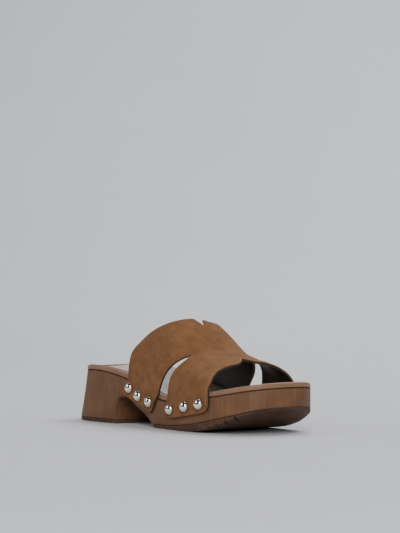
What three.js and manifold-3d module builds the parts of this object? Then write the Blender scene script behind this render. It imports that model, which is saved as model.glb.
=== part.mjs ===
// A right-foot heeled slide sandal, in millimetres.
// +X points to the toe, +Y to the inner (medial) side of the foot and +Z up; the floor is z = 0.
import * as THREE from 'three';
import { mergeVertices } from 'three/addons/utils/BufferGeometryUtils.js';
import Module from 'manifold-3d';

const wasm = await Module();
wasm.setup();

// Driving sizes of the sole
const soleLength = 250;
const ballWidth = 84;
const heelSeat = 44.5;
const toeSpring = 18.5;
const springStart = 12;
const springPower = 1.85;
const toeTipY = 11;
const seamGap = 0.3;
const edgeBevel = 0.7;

// Driving sizes of the heel block and of the arch that is open below the waist
const heelFront = -58.2;
const heelFlareBack = 8;
const heelFlareSide = 1.8;
const archTop = 22.9;
const archTopX = -47.4;
const forefootRear = 0.5;

// Driving sizes of the tread
const treadThickness = 3.2;
const treadStart = 40;
const treadPower = 2.2;
const toeBorderWidth = 9;
const toeBorderRise = 3;
const toeBorderFrom = 60;
const toeBorderTo = 115;
const grooveDepth = 1.7;
const grooveWidth = 2.2;
const grooveSlope = 0.5;
const grooveMargin = 3;
const heelGrooves = { pitch: 6.2, from: -soleLength / 2 + 8.6, to: heelFront - grooveMargin };
const forefootGrooves = { pitch: 8.6, from: forefootRear + 7.3, to: 106 };

// Driving sizes of the insole
const insoleThickness = 4.5;
const insoleEdgeRadius = 1.6;
const heelDish = 2.6;
const archLift = 1.6;

// Driving sizes of the upper
const upperWall = 2.2;
const instepHeight = 92.3;
const crownY = 5.7;
const sideRoundness = 1.72;
const topRoundness = 2.27;
const rimGirth = 0.72;
const rearNotch = { girth: -0.086, depth: 9, halfWidth: 0.036, power: 0.85 };
const frontNotch = { girth: -0.055, depth: 12, halfWidth: 0.15, power: 1.7 };

// Driving sizes of the dome studs
const studRadius = 4.45;
const studHeight = 3.9;
const studRowGirth = 0.9;

// Sections of the sole. At is a share of the length from its middle, outer and inner are
// half widths as shares of the ball width, and rim is the insole edge as a share of heelSeat.
const soleTable = [
  { at: -0.50, outer: 0.352, inner: 0.358, rim: 1.024 },
  { at: -0.38, outer: 0.362, inner: 0.367, rim: 1.072 },
  { at: -0.24, outer: 0.369, inner: 0.371, rim: 1.002 },
  { at: -0.10, outer: 0.393, inner: 0.396, rim: 0.845 },
  { at: 0.04, outer: 0.443, inner: 0.450, rim: 0.620 },
  { at: 0.18, outer: 0.488, inner: 0.501, rim: 0.638 },
  { at: 0.32, outer: 0.479, inner: 0.508, rim: 0.733 },
  { at: 0.50, outer: 0.464, inner: 0.488, rim: 0.911 },
];

// How the outline closes at its ends: the length that is rounded, as a share of the sole's
// length, and the fullness of the curve.
const rounding = {
  toeOuter: { reach: 0.256, fullness: 2.8 },
  toeInner: { reach: 0.144, fullness: 2.05 },
  heel: { reach: 0.14, fullness: 2.2 },
};

// Height of the upper's inside over the floor along its middle line: at is a share of the
// length and height a share of instepHeight.
const crownTable = [
  { at: -0.24, height: 1.195 },
  { at: -0.12, height: 1.098 },
  { at: 0.00, height: 1.000 },
  { at: 0.08, height: 0.878 },
  { at: 0.16, height: 0.694 },
  { at: 0.24, height: 0.613 },
  { at: 0.32, height: 0.564 },
  { at: 0.40, height: 0.531 },
];

// Height of the legs' lower edge, as a share of heelSeat.
const legEdgeTable = [
  { at: -0.24, height: 0.663 },
  { at: -0.20, height: 0.588 },
  { at: -0.10, height: 0.414 },
  { at: -0.01, height: 0.275 },
  { at: 0.10, height: 0.218 },
  { at: 0.20, height: 0.273 },
  { at: 0.29, height: 0.355 },
  { at: 0.36, height: 0.434 },
];

// The cut lines of the H-shaped upper. Girth runs from -1 at the outer lower edge over 0 at
// the crown to 1 at the inner lower edge; the lines are shares of the length.
const outerCutTable = [
  { girth: -1.00, rear: -0.190, slotRear: -0.008, slotFront: 0.100, front: 0.303 },
  { girth: -0.95, rear: -0.187, slotRear: 0.003, slotFront: 0.094, front: 0.316 },
  { girth: -0.87, rear: -0.175, slotRear: 0.013, slotFront: 0.097, front: 0.319 },
  { girth: -0.78, rear: -0.156, slotRear: 0.032, slotFront: 0.102, front: 0.319 },
  { girth: -0.70, rear: -0.151, slotRear: 0.050, slotFront: 0.108, front: 0.320 },
  { girth: -0.60, rear: -0.139, slotRear: 0.077, slotFront: 0.114, front: 0.323 },
  { girth: -0.50, rear: -0.097, slotRear: 0.106, slotFront: 0.128, front: 0.314 },
  { girth: -0.42, rear: -0.066, slotRear: 0.126, slotFront: 0.139, front: 0.306 },
  { girth: -0.335, rear: -0.030, slotRear: 0.142, slotFront: 0.142, front: 0.305 },
  { girth: -0.235, rear: 0.007, slotRear: 0.153, slotFront: 0.153, front: 0.306 },
  { girth: -0.13, rear: 0.036, slotRear: 0.165, slotFront: 0.165, front: 0.312 },
  { girth: 0.00, rear: 0.068, slotRear: 0.179, slotFront: 0.179, front: 0.318 },
];
const innerCutTable = [
  { girth: 0.00, rear: 0.068, slotRear: 0.179, slotFront: 0.179, front: 0.318 },
  { girth: 0.13, rear: 0.066, slotRear: 0.193, slotFront: 0.193, front: 0.315 },
  { girth: 0.28, rear: 0.036, slotRear: 0.210, slotFront: 0.210, front: 0.314 },
  { girth: 0.36, rear: 0.012, slotRear: 0.181, slotFront: 0.206, front: 0.314 },
  { girth: 0.43, rear: -0.012, slotRear: 0.164, slotFront: 0.196, front: 0.314 },
  { girth: 0.50, rear: -0.042, slotRear: 0.151, slotFront: 0.186, front: 0.316 },
  { girth: 0.60, rear: -0.090, slotRear: 0.130, slotFront: 0.172, front: 0.320 },
  { girth: 0.70, rear: -0.108, slotRear: 0.100, slotFront: 0.163, front: 0.323 },
  { girth: 0.78, rear: -0.112, slotRear: 0.076, slotFront: 0.157, front: 0.324 },
  { girth: 0.87, rear: -0.136, slotRear: 0.056, slotFront: 0.151, front: 0.324 },
  { girth: 0.95, rear: -0.154, slotRear: 0.044, slotFront: 0.148, front: 0.321 },
  { girth: 1.00, rear: -0.160, slotRear: 0.034, slotFront: 0.154, front: 0.309 },
];
const outerSlotTip = -0.335;
const innerSlotTip = 0.28;

// Studs: which leg they hold, where as a share of the leg's width, and how far above its
// lower edge.
const studTable = [
  { leg: 'rear', share: 0.21, above: 9.2 },
  { leg: 'rear', share: 0.51, above: 7.6 },
  { leg: 'rear', share: 0.89, above: 8.6 },
  { leg: 'front', share: 0.14, above: 6.8 },
  { leg: 'front', share: 0.51, above: 7.4 },
  { leg: 'front', share: 0.83, above: 7.2 },
];

// Smooth curve through a table's rows, read at one place
function curve(table, key, column, place) {
  let row = 0;
  while (row < table.length - 2 && place > table[row + 1][key]) row += 1;
  const slope = (index) =>
    (table[index + 1][column] - table[index][column]) / (table[index + 1][key] - table[index][key]);
  const tangent = (index) => {
    if (index === 0) return slope(0);
    if (index === table.length - 1) return slope(index - 1);
    const before = table[index][key] - table[index - 1][key];
    const after = table[index + 1][key] - table[index][key];
    return (slope(index - 1) * after + slope(index) * before) / (before + after);
  };
  const span = table[row + 1][key] - table[row][key];
  const t = (place - table[row][key]) / span;
  const t2 = t * t;
  const t3 = t2 * t;
  return (
    (2 * t3 - 3 * t2 + 1) * table[row][column] +
    (t3 - 2 * t2 + t) * span * tangent(row) +
    (3 * t2 - 2 * t3) * table[row + 1][column] +
    (t3 - t2) * span * tangent(row + 1)
  );
}

// Share of the full width that is left at a distance from a rounded end
function roundedEnd(distance, { reach, fullness }) {
  const left = 1 - THREE.MathUtils.clamp(distance / (reach * soleLength), 0, 1);
  return Math.pow(Math.max(1 - Math.pow(left, fullness), 0), 1 / fullness);
}

// Edge of the sole in plan, side -1 for the outer edge and 1 for the inner edge
function edgeY(x, side) {
  const column = side < 0 ? 'outer' : 'inner';
  const full = side * ballWidth * curve(soleTable, 'at', column, x / soleLength);
  const toe = side < 0 ? rounding.toeOuter : rounding.toeInner;
  const y = toeTipY + (full - toeTipY) * roundedEnd(soleLength / 2 - x, toe);
  return y * roundedEnd(x + soleLength / 2, rounding.heel);
}

const rimZ = (x) => heelSeat * curve(soleTable, 'at', 'rim', x / soleLength);
const soleTopZ = (x) => rimZ(x) - insoleThickness;
const springZ = (x, start, power) => {
  const share = THREE.MathUtils.clamp((x - start) / (soleLength / 2 - start), 0, 1);
  return toeSpring * Math.pow(share, power);
};
const groundZ = (x) => springZ(x, treadStart, treadPower);
const soleBottomZ = (x) => springZ(x, springStart, springPower) + treadThickness;
const crownZ = (x) => instepHeight * curve(crownTable, 'at', 'height', x / soleLength);
const legEdgeZ = (x) => heelSeat * curve(legEdgeTable, 'at', 'height', x / soleLength);

// Stations along the sole, closer together at its round ends
function stations(from, to, count) {
  const list = [];
  for (let i = 0; i <= count; i += 1) list.push(from + ((to - from) * i) / count);
  return list;
}
function endStations(count) {
  return stations(0, Math.PI, count).map((angle) => (-Math.cos(angle) * soleLength) / 2);
}

// One level of the sole: its two edges at each station. Inset draws the edge in, by a length
// or by a function of the station, and down is the share of the heel's height below its top,
// where the block flares out.
function level(xs, heightAt, inset = 0, down = () => 0) {
  const insetAt = typeof inset === 'function' ? inset : () => inset;
  const edge = (side) =>
    xs.map((x) => {
      const step = 0.05;
      const low = Math.max(x - step, -soleLength / 2);
      const high = Math.min(x + step, soleLength / 2);
      const along = new THREE.Vector2(high - low, edgeY(high, side) - edgeY(low, side)).normalize();
      const flare = THREE.MathUtils.smoothstep(-x, -heelFront, soleLength / 2) * down(x);
      const sideFlare = THREE.MathUtils.smoothstep(-x, -heelFront - 6, 14 - heelFront) * down(x);
      const width = ballWidth * curve(soleTable, 'at', 'outer', x / soleLength);
      const y = edgeY(x, side) * (1 + (heelFlareSide * sideFlare) / width);
      const end = Math.abs(x) > soleLength / 2 - step;
      const inward = end ? new THREE.Vector2(-Math.sign(x), 0) : new THREE.Vector2(along.y, -along.x);
      if (!end) inward.multiplyScalar(side);
      return new THREE.Vector3(
        x - heelFlareBack * flare + inward.x * insetAt(x),
        y + inward.y * insetAt(x),
        heightAt(x),
      );
    });
  return { outer: edge(-1), inner: edge(1) };
}

// A closed solid between its first level, at the bottom, and its last level, at the top.
// Across is the number of strips from edge to edge, and the fills give their own heights.
function plate(levels, across, bottomFill, topFill) {
  const points = [];
  const faces = [];
  const last = levels[0].outer.length - 1;
  const add = (point) => points.push(point) - 1;
  const quad = (a, b, c, d) => faces.push(a, b, c, a, c, d);
  const rowOf = (lvl, i, fill) => {
    const row = [];
    for (let k = 0; k <= across; k += 1) {
      const point = lvl.outer[i].clone().lerp(lvl.inner[i], k / across);
      const inside = k > 0 && k < across && i > 0 && i < last;
      if (fill && inside) point.z = fill(point.x, k / across, point.z);
      row.push(add(point));
    }
    return row;
  };
  const loops = levels.map((lvl, index) => {
    const fill = index === 0 ? bottomFill : topFill;
    const outermost = index === 0 || index === levels.length - 1;
    const rows = lvl.outer.map((_, i) => {
      if (outermost || i === 0 || i === last) return rowOf(lvl, i, fill);
      return [add(lvl.outer[i].clone()), add(lvl.inner[i].clone())];
    });
    if (index === 0) {
      for (let i = 0; i < last; i += 1) {
        for (let k = 0; k < across; k += 1) {
          quad(rows[i][k], rows[i][k + 1], rows[i + 1][k + 1], rows[i + 1][k]);
        }
      }
    }
    if (index === levels.length - 1) {
      for (let i = 0; i < last; i += 1) {
        for (let k = 0; k < across; k += 1) {
          quad(rows[i][k], rows[i + 1][k], rows[i + 1][k + 1], rows[i][k + 1]);
        }
      }
    }
    const outerRun = rows.map((row) => row[0]);
    const innerRun = rows.map((row) => row[row.length - 1]).reverse();
    const toeRun = rows[last].slice(1, -1);
    const heelRun = rows[0].slice(1, -1).reverse();
    return [...outerRun, ...toeRun, ...innerRun, ...heelRun];
  });
  for (let l = 0; l < loops.length - 1; l += 1) {
    const low = loops[l];
    const high = loops[l + 1];
    for (let i = 0; i < low.length; i += 1) {
      const next = (i + 1) % low.length;
      quad(low[i], low[next], high[next], high[i]);
    }
  }
  return closedGeometry(points, faces);
}

// Joins points that coincide and drops the faces that close up between them
function closedGeometry(points, faces) {
  const raw = new THREE.BufferGeometry();
  raw.setAttribute('position', new THREE.Float32BufferAttribute(points.flatMap((p) => [p.x, p.y, p.z]), 3));
  raw.setIndex(faces);
  const merged = mergeVertices(raw, 1e-4);
  const index = merged.getIndex().array;
  const kept = [];
  for (let i = 0; i < index.length; i += 3) {
    const [a, b, c] = [index[i], index[i + 1], index[i + 2]];
    if (a !== b && b !== c && c !== a) kept.push(a, b, c);
  }
  merged.setIndex(kept);
  merged.computeVertexNormals();
  return merged;
}

function toManifold(geometry) {
  const bare = new THREE.BufferGeometry();
  bare.setAttribute('position', geometry.getAttribute('position').clone());
  bare.setIndex(geometry.getIndex() ? geometry.getIndex().clone() : null);
  const merged = mergeVertices(bare, 1e-4);
  return new wasm.Manifold(
    new wasm.Mesh({
      numProp: 3,
      vertProperties: new Float32Array(merged.getAttribute('position').array),
      triVerts: new Uint32Array(merged.getIndex().array),
    }),
  );
}

function fromManifold(solid) {
  const mesh = solid.getMesh();
  const geometry = new THREE.BufferGeometry();
  geometry.setAttribute('position', new THREE.Float32BufferAttribute(mesh.vertProperties, 3));
  geometry.setIndex(Array.from(mesh.triVerts));
  geometry.computeVertexNormals();
  return geometry;
}

// The sole unit: heel block, waist and forefoot in one piece, open below the waist
function soleGeometry() {
  const xs = endStations(44);
  const down = (share) => () => share;
  const body = plate(
    [
      level(xs, (x) => soleBottomZ(x), edgeBevel * 0.5, down(1)),
      level(xs, (x) => soleBottomZ(x) + edgeBevel, 0, down(0.97)),
      level(xs, (x) => soleBottomZ(x) * 0.5 + soleTopZ(x) * 0.5, 0, down(0.42)),
      level(xs, (x) => soleTopZ(x) - edgeBevel, 0, down(0.02)),
      level(xs, (x) => soleTopZ(x), edgeBevel, down(0)),
    ],
    2,
    (x) => soleBottomZ(x),
    (x) => soleTopZ(x),
  );
  return fromManifold(toManifold(body).subtract(toManifold(archGeometry())));
}

// The space under the waist, from the heel's breast to the rear of the forefoot
function archGeometry() {
  const below = -4;
  const bulge = 3.5;
  const shape = new THREE.Shape();
  shape.moveTo(heelFront, below);
  shape.lineTo(heelFront, 0);
  shape.bezierCurveTo(heelFront - bulge, archTop * 0.4, heelFront - bulge, archTop, archTopX, archTop);
  shape.bezierCurveTo(archTopX + 9, archTop, archTopX + 18, archTop * 0.68, archTopX + 31, archTop * 0.48);
  shape.bezierCurveTo(forefootRear - 11, archTop * 0.36, forefootRear - 4.5, archTop * 0.22, forefootRear, 0);
  shape.lineTo(forefootRear, below);
  const width = ballWidth * 2;
  const geometry = new THREE.ExtrudeGeometry(shape, { depth: width, bevelEnabled: false, curveSegments: 8 });
  geometry.rotateX(Math.PI / 2);
  geometry.translate(0, width / 2, 0);
  return geometry;
}

// How much of the toe's sloping border the tread has at a place along the sole
const borderShare = (x) => THREE.MathUtils.smoothstep(x, toeBorderFrom, toeBorderTo);

// Stations of a tread layer and the depth of the grooves that cross it at each of them
function treadStations(from, to, grooves) {
  const marks = [];
  for (let x = grooves.from; x + grooveWidth <= grooves.to; x += grooves.pitch) {
    const depth = grooveDepth + toeBorderRise * borderShare(x);
    marks.push({ x, depth: 0 });
    marks.push({ x: x + grooveSlope, depth });
    marks.push({ x: x + grooveWidth - grooveSlope, depth });
    marks.push({ x: x + grooveWidth, depth: 0 });
  }
  const clear = (x) => marks.every((mark) => Math.abs(mark.x - x) > grooveWidth);
  const plain = endStations(44).filter((x) => x > from && x < to && clear(x));
  const ends = [from, to].map((x) => ({ x, depth: 0 }));
  return [...marks, ...plain.map((x) => ({ x, depth: 0 })), ...ends].sort((a, b) => a.x - b.x);
}

// A tread layer under the heel or the forefoot, with grooves from edge to edge. Under the toe
// its border slopes up to the edge.
function treadGeometry(from, to, grooves) {
  const list = treadStations(from, to, grooves);
  const xs = list.map((entry) => entry.x);
  const depthAt = new Map(list.map((entry) => [entry.x, entry.depth]));
  const full = () => 1;
  const bevel = 0.3;
  const low = (share, rise) => (x) =>
    groundZ(x) + Math.max(depthAt.get(x), share * toeBorderRise * borderShare(x)) + rise;
  const inset = (share, least) => (x) => share * toeBorderWidth * borderShare(x) + least;
  return plate(
    [
      level(xs, low(0, 0), inset(1, bevel), full),
      level(xs, low(0.3, bevel * 0.5), inset(0.3, 0), full),
      level(xs, low(1, bevel), 0, full),
      level(xs, (x) => soleBottomZ(x) - seamGap, 0, full),
    ],
    1,
    null,
    null,
  );
}

// Height of the footbed over a point: a heel cup and a low ridge under the inner arch
function footbedZ(x, share) {
  const middle = 1 - Math.pow(Math.abs(share * 2 - 1), 3);
  const dish = heelDish * (0.55 + 0.45 * THREE.MathUtils.smoothstep(-x, 20, 90));
  const arch = Math.exp(-Math.pow((x + 25) / 34, 2)) * THREE.MathUtils.smoothstep(share, 0.5, 0.95);
  return rimZ(x) - dish * middle + archLift * arch * (1 - Math.pow(share, 12));
}

// The insole: a board with a round edge and a dished top
function insoleGeometry() {
  const xs = endStations(44);
  const r = insoleEdgeRadius;
  const bottom = (x) => soleTopZ(x) + seamGap;
  return plate(
    [
      level(xs, bottom, r),
      level(xs, (x) => bottom(x) + r * 0.3, r * 0.28),
      level(xs, (x) => bottom(x) + r, 0),
      level(xs, (x) => rimZ(x) - r, 0),
      level(xs, (x) => rimZ(x) - r * 0.3, r * 0.28),
      level(xs, (x) => rimZ(x), r),
    ],
    7,
    bottom,
    footbedZ,
  );
}

// Inside of the upper at a place along the sole and a place around its girth
function upperInside(x, girth) {
  const side = girth < 0 ? -1 : 1;
  const share = Math.abs(girth);
  const wallY = edgeY(x, side) + side * seamGap;
  if (share >= rimGirth) {
    const down = (share - rimGirth) / (1 - rimGirth);
    return new THREE.Vector3(x, wallY, THREE.MathUtils.lerp(rimZ(x), legEdgeZ(x), down));
  }
  const angle = (1 - share / rimGirth) * (Math.PI / 2);
  const across = Math.pow(Math.max(Math.cos(angle), 0), 2 / sideRoundness);
  const up = Math.pow(Math.max(Math.sin(angle), 0), 2 / topRoundness);
  return new THREE.Vector3(
    x,
    crownY + (wallY - crownY) * across,
    rimZ(x) + (crownZ(x) + seamGap - rimZ(x)) * up,
  );
}

// Outside of the upper: the inside moved out by the wall
function upperOutside(x, girth) {
  const step = 0.02;
  const inner = upperInside(x, girth);
  const low = Math.max(girth - step, -1);
  const high = Math.min(girth + step, 1);
  const around = upperInside(x, high).sub(upperInside(x, low));
  const along = upperInside(x + 1, girth).sub(upperInside(x - 1, girth));
  const normal = along.cross(around).normalize();
  return inner.addScaledVector(normal, upperWall);
}

// How deep a notch cuts in at a place around the girth
function notchCut(girth, notch) {
  const share = Math.min(Math.abs(girth - notch.girth) / notch.halfWidth, 1);
  return notch.depth * Math.pow(1 - share, notch.power);
}

// The four cut lines of the upper at a place around its girth
function cutLines(girth) {
  const table = girth < 0 ? outerCutTable : innerCutTable;
  const read = (column) => soleLength * curve(table, 'girth', column, girth);
  const open = girth < outerSlotTip || girth > innerSlotTip;
  const middle = (read('slotRear') + read('slotFront')) / 2;
  return {
    rear: read('rear') + notchCut(girth, rearNotch),
    slotRear: open ? Math.min(read('slotRear'), middle) : middle,
    slotFront: open ? Math.max(read('slotFront'), middle) : middle,
    front: read('front') - notchCut(girth, frontNotch),
    open,
  };
}

// Rows around the girth, closer together where the edges turn
function girthRows() {
  const runs = [
    { to: -0.95, count: 1 },
    { to: -rimGirth, count: 5 },
    { to: -0.5, count: 7 },
    { to: outerSlotTip, count: 6 },
    { to: rearNotch.girth - rearNotch.halfWidth, count: 6 },
    { to: rearNotch.girth, count: 3 },
    { to: frontNotch.girth, count: 2 },
    { to: rearNotch.girth + rearNotch.halfWidth, count: 1 },
    { to: innerSlotTip, count: 9 },
    { to: 0.5, count: 7 },
    { to: rimGirth, count: 7 },
    { to: 0.95, count: 5 },
    { to: 1, count: 1 },
  ];
  const rows = [-1];
  runs.forEach(({ to, count }) => {
    const from = rows[rows.length - 1];
    stations(from, to, count).slice(1).forEach((girth) => rows.push(girth));
  });
  return rows;
}

// The upper: one wall over the foot, its two legs a side joined over the instep
function upperGeometry() {
  const columns = 9;
  const points = [];
  const faces = [];
  const add = (point) => points.push(point) - 1;
  const quad = (a, b, c, d) => faces.push(a, b, c, a, c, d);
  const rows = girthRows().map((girth) => {
    const line = cutLines(girth);
    const block = (from, to) =>
      stations(from, to, columns).map((x) => ({
        inside: add(upperInside(x, girth)),
        outside: add(upperOutside(x, girth)),
      }));
    return { rear: block(line.rear, line.slotRear), front: block(line.slotFront, line.front), open: line.open };
  });
  const skin = (one, two) => {
    for (let i = 0; i < columns; i += 1) {
      quad(one[i].outside, one[i + 1].outside, two[i + 1].outside, two[i].outside);
      quad(one[i].inside, two[i].inside, two[i + 1].inside, one[i + 1].inside);
    }
  };
  const wall = (a, b) => quad(a.inside, b.inside, b.outside, a.outside);
  for (let r = 0; r < rows.length - 1; r += 1) {
    const one = rows[r];
    const two = rows[r + 1];
    skin(one.rear, two.rear);
    skin(one.front, two.front);
    wall(two.rear[0], one.rear[0]);
    wall(one.front[columns], two.front[columns]);
    if (one.open || two.open) {
      wall(one.rear[columns], two.rear[columns]);
      wall(two.front[0], one.front[0]);
    }
  }
  const lowest = rows[0];
  const highest = rows[rows.length - 1];
  ['rear', 'front'].forEach((leg) => {
    for (let i = 0; i < columns; i += 1) {
      wall(lowest[leg][i], lowest[leg][i + 1]);
      wall(highest[leg][i + 1], highest[leg][i]);
    }
  });
  return closedGeometry(points, faces);
}

// A stud's dome, its flat back on the leg
function studGeometry() {
  const rim = 0.6;
  const profile = [new THREE.Vector2(0, 0), new THREE.Vector2(studRadius - 0.3, 0)];
  profile.push(new THREE.Vector2(studRadius, rim * 0.5));
  for (let i = 0; i <= 3; i += 1) {
    const angle = (i / 4) * (Math.PI / 2);
    profile.push(new THREE.Vector2(
      studRadius * Math.cos(angle),
      rim + (studHeight - rim) * Math.sin(angle),
    ));
  }
  profile.push(new THREE.Vector2(0, studHeight));
  const geometry = new THREE.LatheGeometry(profile, 16);
  geometry.rotateX(Math.PI / 2);
  return geometry;
}

function studPlace(side, { leg, share, above }) {
  const line = cutLines(side * studRowGirth);
  const [from, to] = leg === 'rear' ? [line.rear, line.slotRear] : [line.slotFront, line.front];
  const x = THREE.MathUtils.lerp(from, to, share);
  const girth = side * (1 - (above / (rimZ(x) - legEdgeZ(x))) * (1 - rimGirth));
  const outside = upperOutside(x, girth);
  const out = outside.clone().sub(upperInside(x, girth)).normalize();
  return { position: outside.addScaledVector(out, seamGap), out };
}

const sandal = new THREE.Group();
sandal.name = 'slide_sandal';

const look = {
  sole: { color: 0x64483a, roughness: 0.6, metalness: 0 },
  tread: { color: 0x52392a, roughness: 0.85, metalness: 0 },
  insole: { color: 0x97705c, roughness: 0.45, metalness: 0 },
  upper: { color: 0x7d4f2c, roughness: 0.95, metalness: 0 },
  stud: { color: 0xd4d0c8, roughness: 0.15, metalness: 1 },
};

function piece(name, geometry, finish) {
  const mesh = new THREE.Mesh(geometry, new THREE.MeshStandardMaterial(finish));
  mesh.name = name;
  sandal.add(mesh);
  return mesh;
}

piece('sole', soleGeometry(), look.sole);
piece('outsole_heel', treadGeometry(-soleLength / 2, heelFront, heelGrooves), look.tread);
piece('outsole_forefoot', treadGeometry(forefootRear, soleLength / 2, forefootGrooves), look.tread);
piece('insole', insoleGeometry(), look.insole);
piece('upper', upperGeometry(), look.upper);

[['outer', -1], ['inner', 1]].forEach(([sideName, side]) => {
  studTable.forEach((entry, index) => {
    const { position, out } = studPlace(side, entry);
    const stud = piece(`stud_${sideName}_${index + 1}`, studGeometry(), look.stud);
    stud.position.copy(position);
    stud.quaternion.setFromUnitVectors(new THREE.Vector3(0, 0, 1), out);
  });
});

// The origin is at the middle of the sandal's box, on the floor
const box = new THREE.Box3().setFromObject(sandal);
sandal.position.set(-(box.min.x + box.max.x) / 2, -(box.min.y + box.max.y) / 2, -box.min.z);

export default sandal;
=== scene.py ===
import math

import bmesh
import bpy
import numpy as np
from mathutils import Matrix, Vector


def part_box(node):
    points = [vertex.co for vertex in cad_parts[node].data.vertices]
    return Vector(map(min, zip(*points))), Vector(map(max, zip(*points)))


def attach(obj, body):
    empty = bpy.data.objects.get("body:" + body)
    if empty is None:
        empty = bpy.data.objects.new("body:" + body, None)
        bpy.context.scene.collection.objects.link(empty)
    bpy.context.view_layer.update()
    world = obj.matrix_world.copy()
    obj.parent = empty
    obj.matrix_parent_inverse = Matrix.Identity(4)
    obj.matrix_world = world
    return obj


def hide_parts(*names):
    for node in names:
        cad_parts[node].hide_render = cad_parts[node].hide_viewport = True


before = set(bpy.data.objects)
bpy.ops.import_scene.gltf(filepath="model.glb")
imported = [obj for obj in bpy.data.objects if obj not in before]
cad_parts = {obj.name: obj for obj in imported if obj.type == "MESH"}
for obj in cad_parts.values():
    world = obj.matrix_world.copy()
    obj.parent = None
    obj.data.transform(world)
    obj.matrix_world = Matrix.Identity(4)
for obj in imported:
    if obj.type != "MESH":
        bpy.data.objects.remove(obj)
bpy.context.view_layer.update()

mm = 0.001

# Camera
# It looks at the shoe's outer side and toe, level and low over the floor, as the photograph does.
# The lens is set for the height of the 400 x 533 image.
image_height = 533
focal_pixels = 2212
camera_pitch = math.radians(90.105)
camera_turn = math.radians(53.19)
camera_place = Vector((1.4498, -1.0721, 0.1264))

camera_data = bpy.data.cameras.new("camera")
camera_data.sensor_width = 36
camera_data.lens = camera_data.sensor_width * focal_pixels / image_height
camera = bpy.data.objects.new("camera", camera_data)
camera.location = camera_place
camera.rotation_euler = (camera_pitch, 0, camera_turn)
bpy.context.scene.collection.objects.link(camera)
bpy.context.scene.camera = camera

# Floor and backdrop
# One pale grey paper sheet that lies under the shoe and sweeps up behind it. Paper has a faint
# cloud and a fine tooth, so its finish is the first one mixed from two tones.
sight = Vector((-math.sin(camera_turn), math.cos(camera_turn), 0))
across = Vector((math.cos(camera_turn), math.sin(camera_turn), 0))


def new_group(name, inputs, outputs):
    """An empty shader node group with its named sockets."""
    group = bpy.data.node_groups.new(name, "ShaderNodeTree")
    for socket, kind, value in inputs:
        made = group.interface.new_socket(socket, in_out="INPUT", socket_type=kind)
        made.default_value = value
    for socket, kind in outputs:
        group.interface.new_socket(socket, in_out="OUTPUT", socket_type=kind)
    return group


def wire(tree, kind, settings=None, links=None, **inputs):
    """A node with its settings, its plain inputs and its links in one call."""
    node = tree.nodes.new(kind)
    for key, value in (settings or {}).items():
        setattr(node, key, value)
    for key, value in inputs.items():
        node.inputs[key.replace("_", " ")].default_value = value
    for key, source in (links or {}).items():
        tree.links.new(source, node.inputs[key])
    return node


# Mottle: clouds for stains and wear, and a fine grain that can be drawn out along one way
mottle = new_group(
    "mottle",
    [("Cloud size", "NodeSocketFloat", 60.0), ("Grain size", "NodeSocketFloat", 1500.0),
     ("Grain share", "NodeSocketFloat", 0.35), ("Stretch", "NodeSocketVector", (1, 1, 1))],
    [("Mask", "NodeSocketFloat"), ("Grain", "NodeSocketFloat")],
)
entry = mottle.nodes.new("NodeGroupInput")
place = mottle.nodes.new("ShaderNodeTexCoord")
drawn = wire(mottle, "ShaderNodeVectorMath", {"operation": "MULTIPLY"},
             {0: place.outputs["Object"], 1: entry.outputs["Stretch"]})
cloud = wire(mottle, "ShaderNodeTexNoise", None,
             {"Vector": place.outputs["Object"], "Scale": entry.outputs["Cloud size"]},
             Detail=5.0, Roughness=0.6)
grain = wire(mottle, "ShaderNodeTexNoise", None,
             {"Vector": drawn.outputs[0], "Scale": entry.outputs["Grain size"]},
             Detail=3.0, Roughness=0.65)
blend = wire(mottle, "ShaderNodeMix", {"data_type": "FLOAT"},
             {0: entry.outputs["Grain share"], 2: cloud.outputs[0], 3: grain.outputs[0]})
leave = mottle.nodes.new("NodeGroupOutput")
mottle.links.new(blend.outputs[0], leave.inputs["Mask"])
mottle.links.new(grain.outputs[0], leave.inputs["Grain"])


# Most of a noise texture's values lie between these two
noise_range = (0.3, 0.7)


def mottled_material(name, dark, light, roughness, cloud, grain, share, bump,
                     stretch=(1, 1, 1), spread=noise_range, bump_depth=0.1, plain=None):
    """A finish whose colour wanders between a dark and a light tone, with a fine grain."""
    made = bpy.data.materials.new(name)
    made.use_nodes = True
    tree = made.node_tree
    shader = tree.nodes["Principled BSDF"]
    spots = wire(tree, "ShaderNodeGroup", {"node_tree": mottle})
    spots.inputs["Cloud size"].default_value = cloud
    spots.inputs["Grain size"].default_value = grain
    spots.inputs["Grain share"].default_value = share
    spots.inputs["Stretch"].default_value = stretch
    ramp = wire(tree, "ShaderNodeValToRGB", None, {"Fac": spots.outputs["Mask"]})
    ramp.color_ramp.elements[0].position = spread[0]
    ramp.color_ramp.elements[0].color = (*dark, 1)
    ramp.color_ramp.elements[1].position = spread[1]
    ramp.color_ramp.elements[1].color = (*light, 1)
    tree.links.new(ramp.outputs["Color"], shader.inputs["Base Color"])
    rough = wire(tree, "ShaderNodeMapRange", None, {"Value": spots.outputs["Grain"]})
    rough.inputs["From Min"].default_value = noise_range[0]
    rough.inputs["From Max"].default_value = noise_range[1]
    rough.inputs["To Min"].default_value = roughness[0]
    rough.inputs["To Max"].default_value = roughness[1]
    tree.links.new(rough.outputs["Result"], shader.inputs["Roughness"])
    bumps = wire(tree, "ShaderNodeBump", None, {"Height": spots.outputs["Grain"]},
                 Strength=bump, Distance=bump_depth * mm)
    tree.links.new(bumps.outputs["Normal"], shader.inputs["Normal"])
    for key, value in (plain or {}).items():
        shader.inputs[key].default_value = value
    return made


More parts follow.
